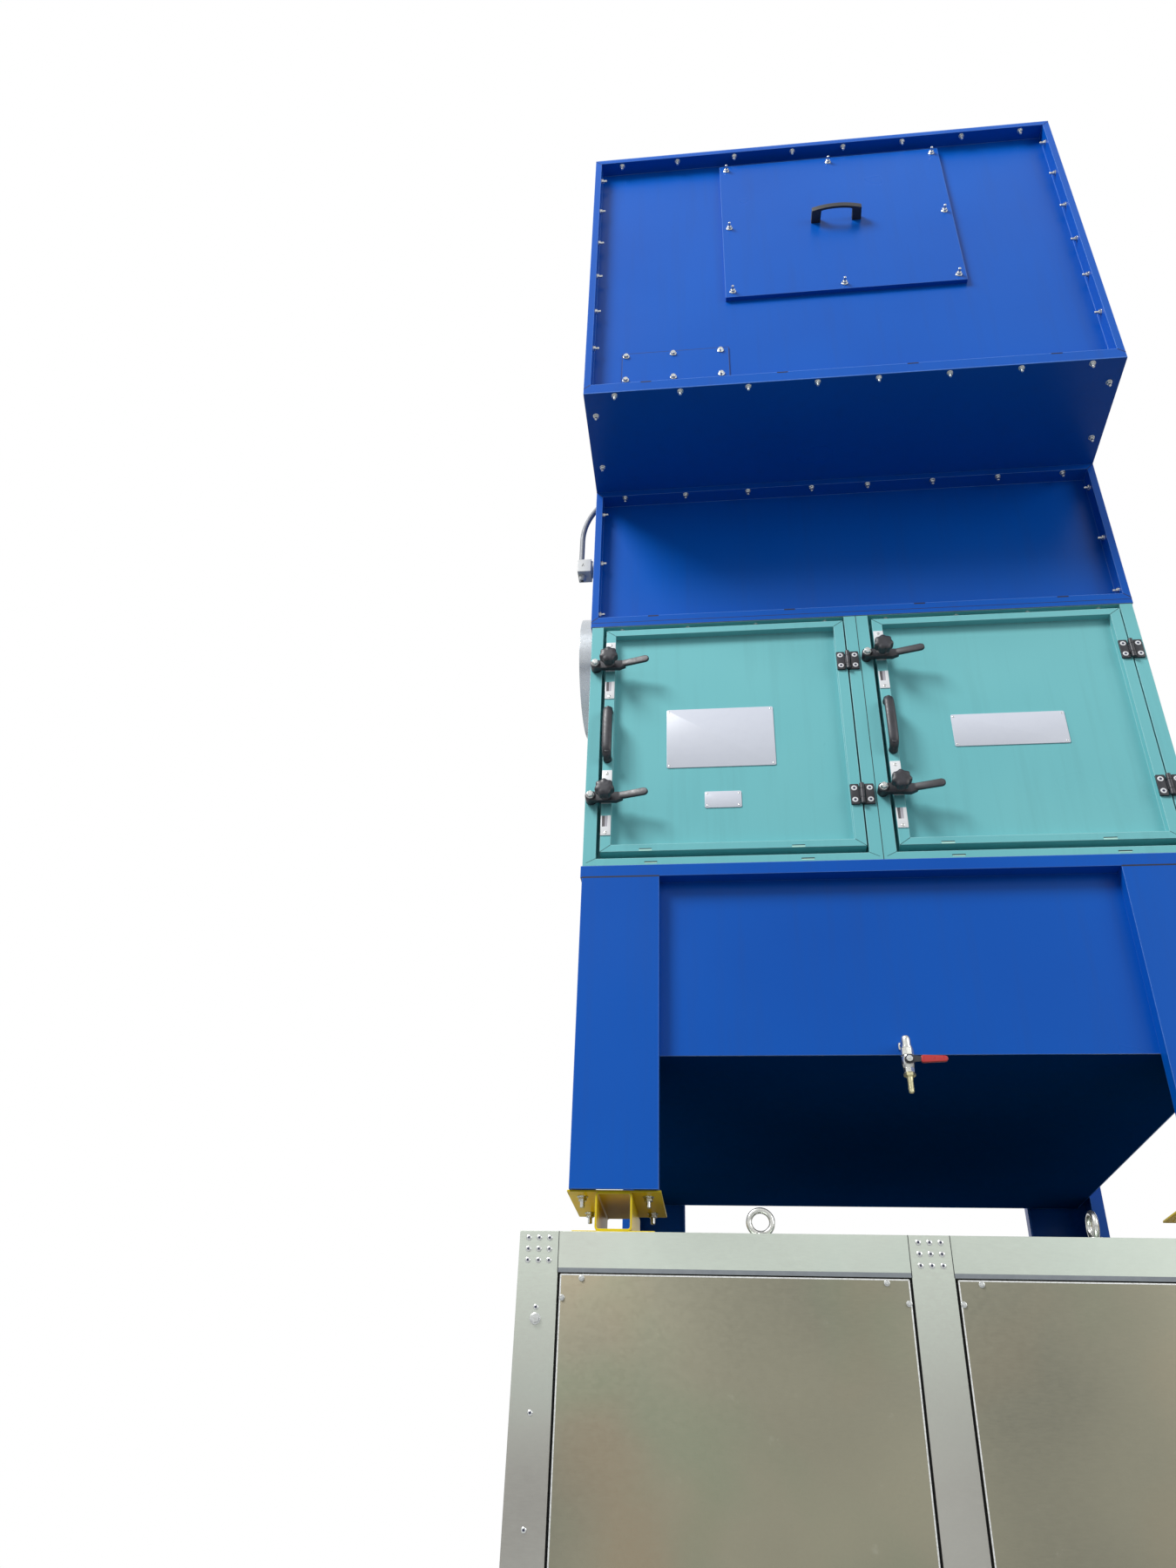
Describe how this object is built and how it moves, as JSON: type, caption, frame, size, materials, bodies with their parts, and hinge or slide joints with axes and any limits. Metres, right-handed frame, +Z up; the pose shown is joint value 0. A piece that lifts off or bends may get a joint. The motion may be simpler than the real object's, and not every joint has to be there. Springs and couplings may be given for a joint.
{
  "type": "box-cased air separator",
  "caption": "Tall box-cased air separator: blue plenum and neck over a teal filter level with hinged doors, a tank on legs with yellow feet, and a galvanised housing below.",
  "frame": {"origin": "centre of the housing's underside, on the ground", "axes": "+X to the right and +Y to the back as seen from the front, +Z up"},
  "size_m": [1.7, 1.922, 5.604],
  "materials": {
    "blue_paint": "satin",
    "teal_paint": "satin",
    "yellow_paint": "satin",
    "galvanised_frame": "galvanised",
    "galvanised_sheet": "galvanised",
    "zinc_plated": "plated",
    "nickel_plated": "plated",
    "black_plastic": "moulded",
    "white_plastic": "moulded",
    "grey_plastic": "moulded",
    "red_plastic": "dipped",
    "plain_plate": "satin"
  },
  "bodies": {
    "casing": {"housing_base": "galvanised_frame", "housing_floor": "galvanised_sheet", "housing_posts": "galvanised_frame", "housing_rails": "galvanised_frame", "housing_panels": "galvanised_sheet", "housing_roof": "galvanised_sheet", "lifting_eyes": "zinc_plated", "feet": "yellow_paint", "legs": "blue_paint", "tank_band": "blue_paint", "tank_ends": "blue_paint", "tank_sides": "blue_paint", "tank_floor": "blue_paint", "drain_valve": "nickel_plated", "left_filter_frame": "teal_paint", "right_filter_frame": "teal_paint", "filter_side_panels": "teal_paint", "filter_rear_panel": "teal_paint", "frame_hinges": "black_plastic", "clamp_spacers": "black_plastic", "neck_front": "blue_paint", "neck_left_side": "blue_paint", "neck_right_side": "blue_paint", "neck_rear": "blue_paint", "duct_spigots": "galvanised_sheet", "duct_flanges": "galvanised_sheet", "junction_box": "grey_plastic", "plenum_floor": "blue_paint", "plenum_front": "blue_paint", "plenum_left_side": "blue_paint", "plenum_right_side": "blue_paint", "plenum_rear": "blue_paint", "plenum_roof": "blue_paint", "inspection_cover": "blue_paint", "cover_handle": "black_plastic", "blanking_plate": "blue_paint"},
    "left_door": {"left_door": "teal_paint", "left_door_hinges": "black_plastic", "left_door_clamps": "black_plastic", "left_wear_plates": "white_plastic", "left_door_handle": "black_plastic", "left_door_signs": "plain_plate"},
    "right_door": {"right_door": "teal_paint", "right_door_hinges": "black_plastic", "right_door_clamps": "black_plastic", "right_wear_plates": "white_plastic", "right_door_handle": "black_plastic", "right_door_sign": "plain_plate"},
    "drain_lever": {"drain_lever": "red_plastic"}
  },
  "joints": [
    {"name": "left_door_hinge", "type": "hinge", "parent": "casing", "child": "left_door", "pos_m": [-0.035, -0.767, 3.429], "axis": [0, 0, 1], "range_deg": [0, 100]},
    {"name": "right_door_hinge", "type": "hinge", "parent": "casing", "child": "right_door", "pos_m": [0.715, -0.767, 3.429], "axis": [0, 0, 1], "range_deg": [0, 100]},
    {"name": "drain_lever_pivot", "type": "hinge", "parent": "casing", "child": "drain_lever", "pos_m": [0, -0.7845, 2.516], "axis": [0, 1, 0], "range_deg": [0, 90]}
  ]
}
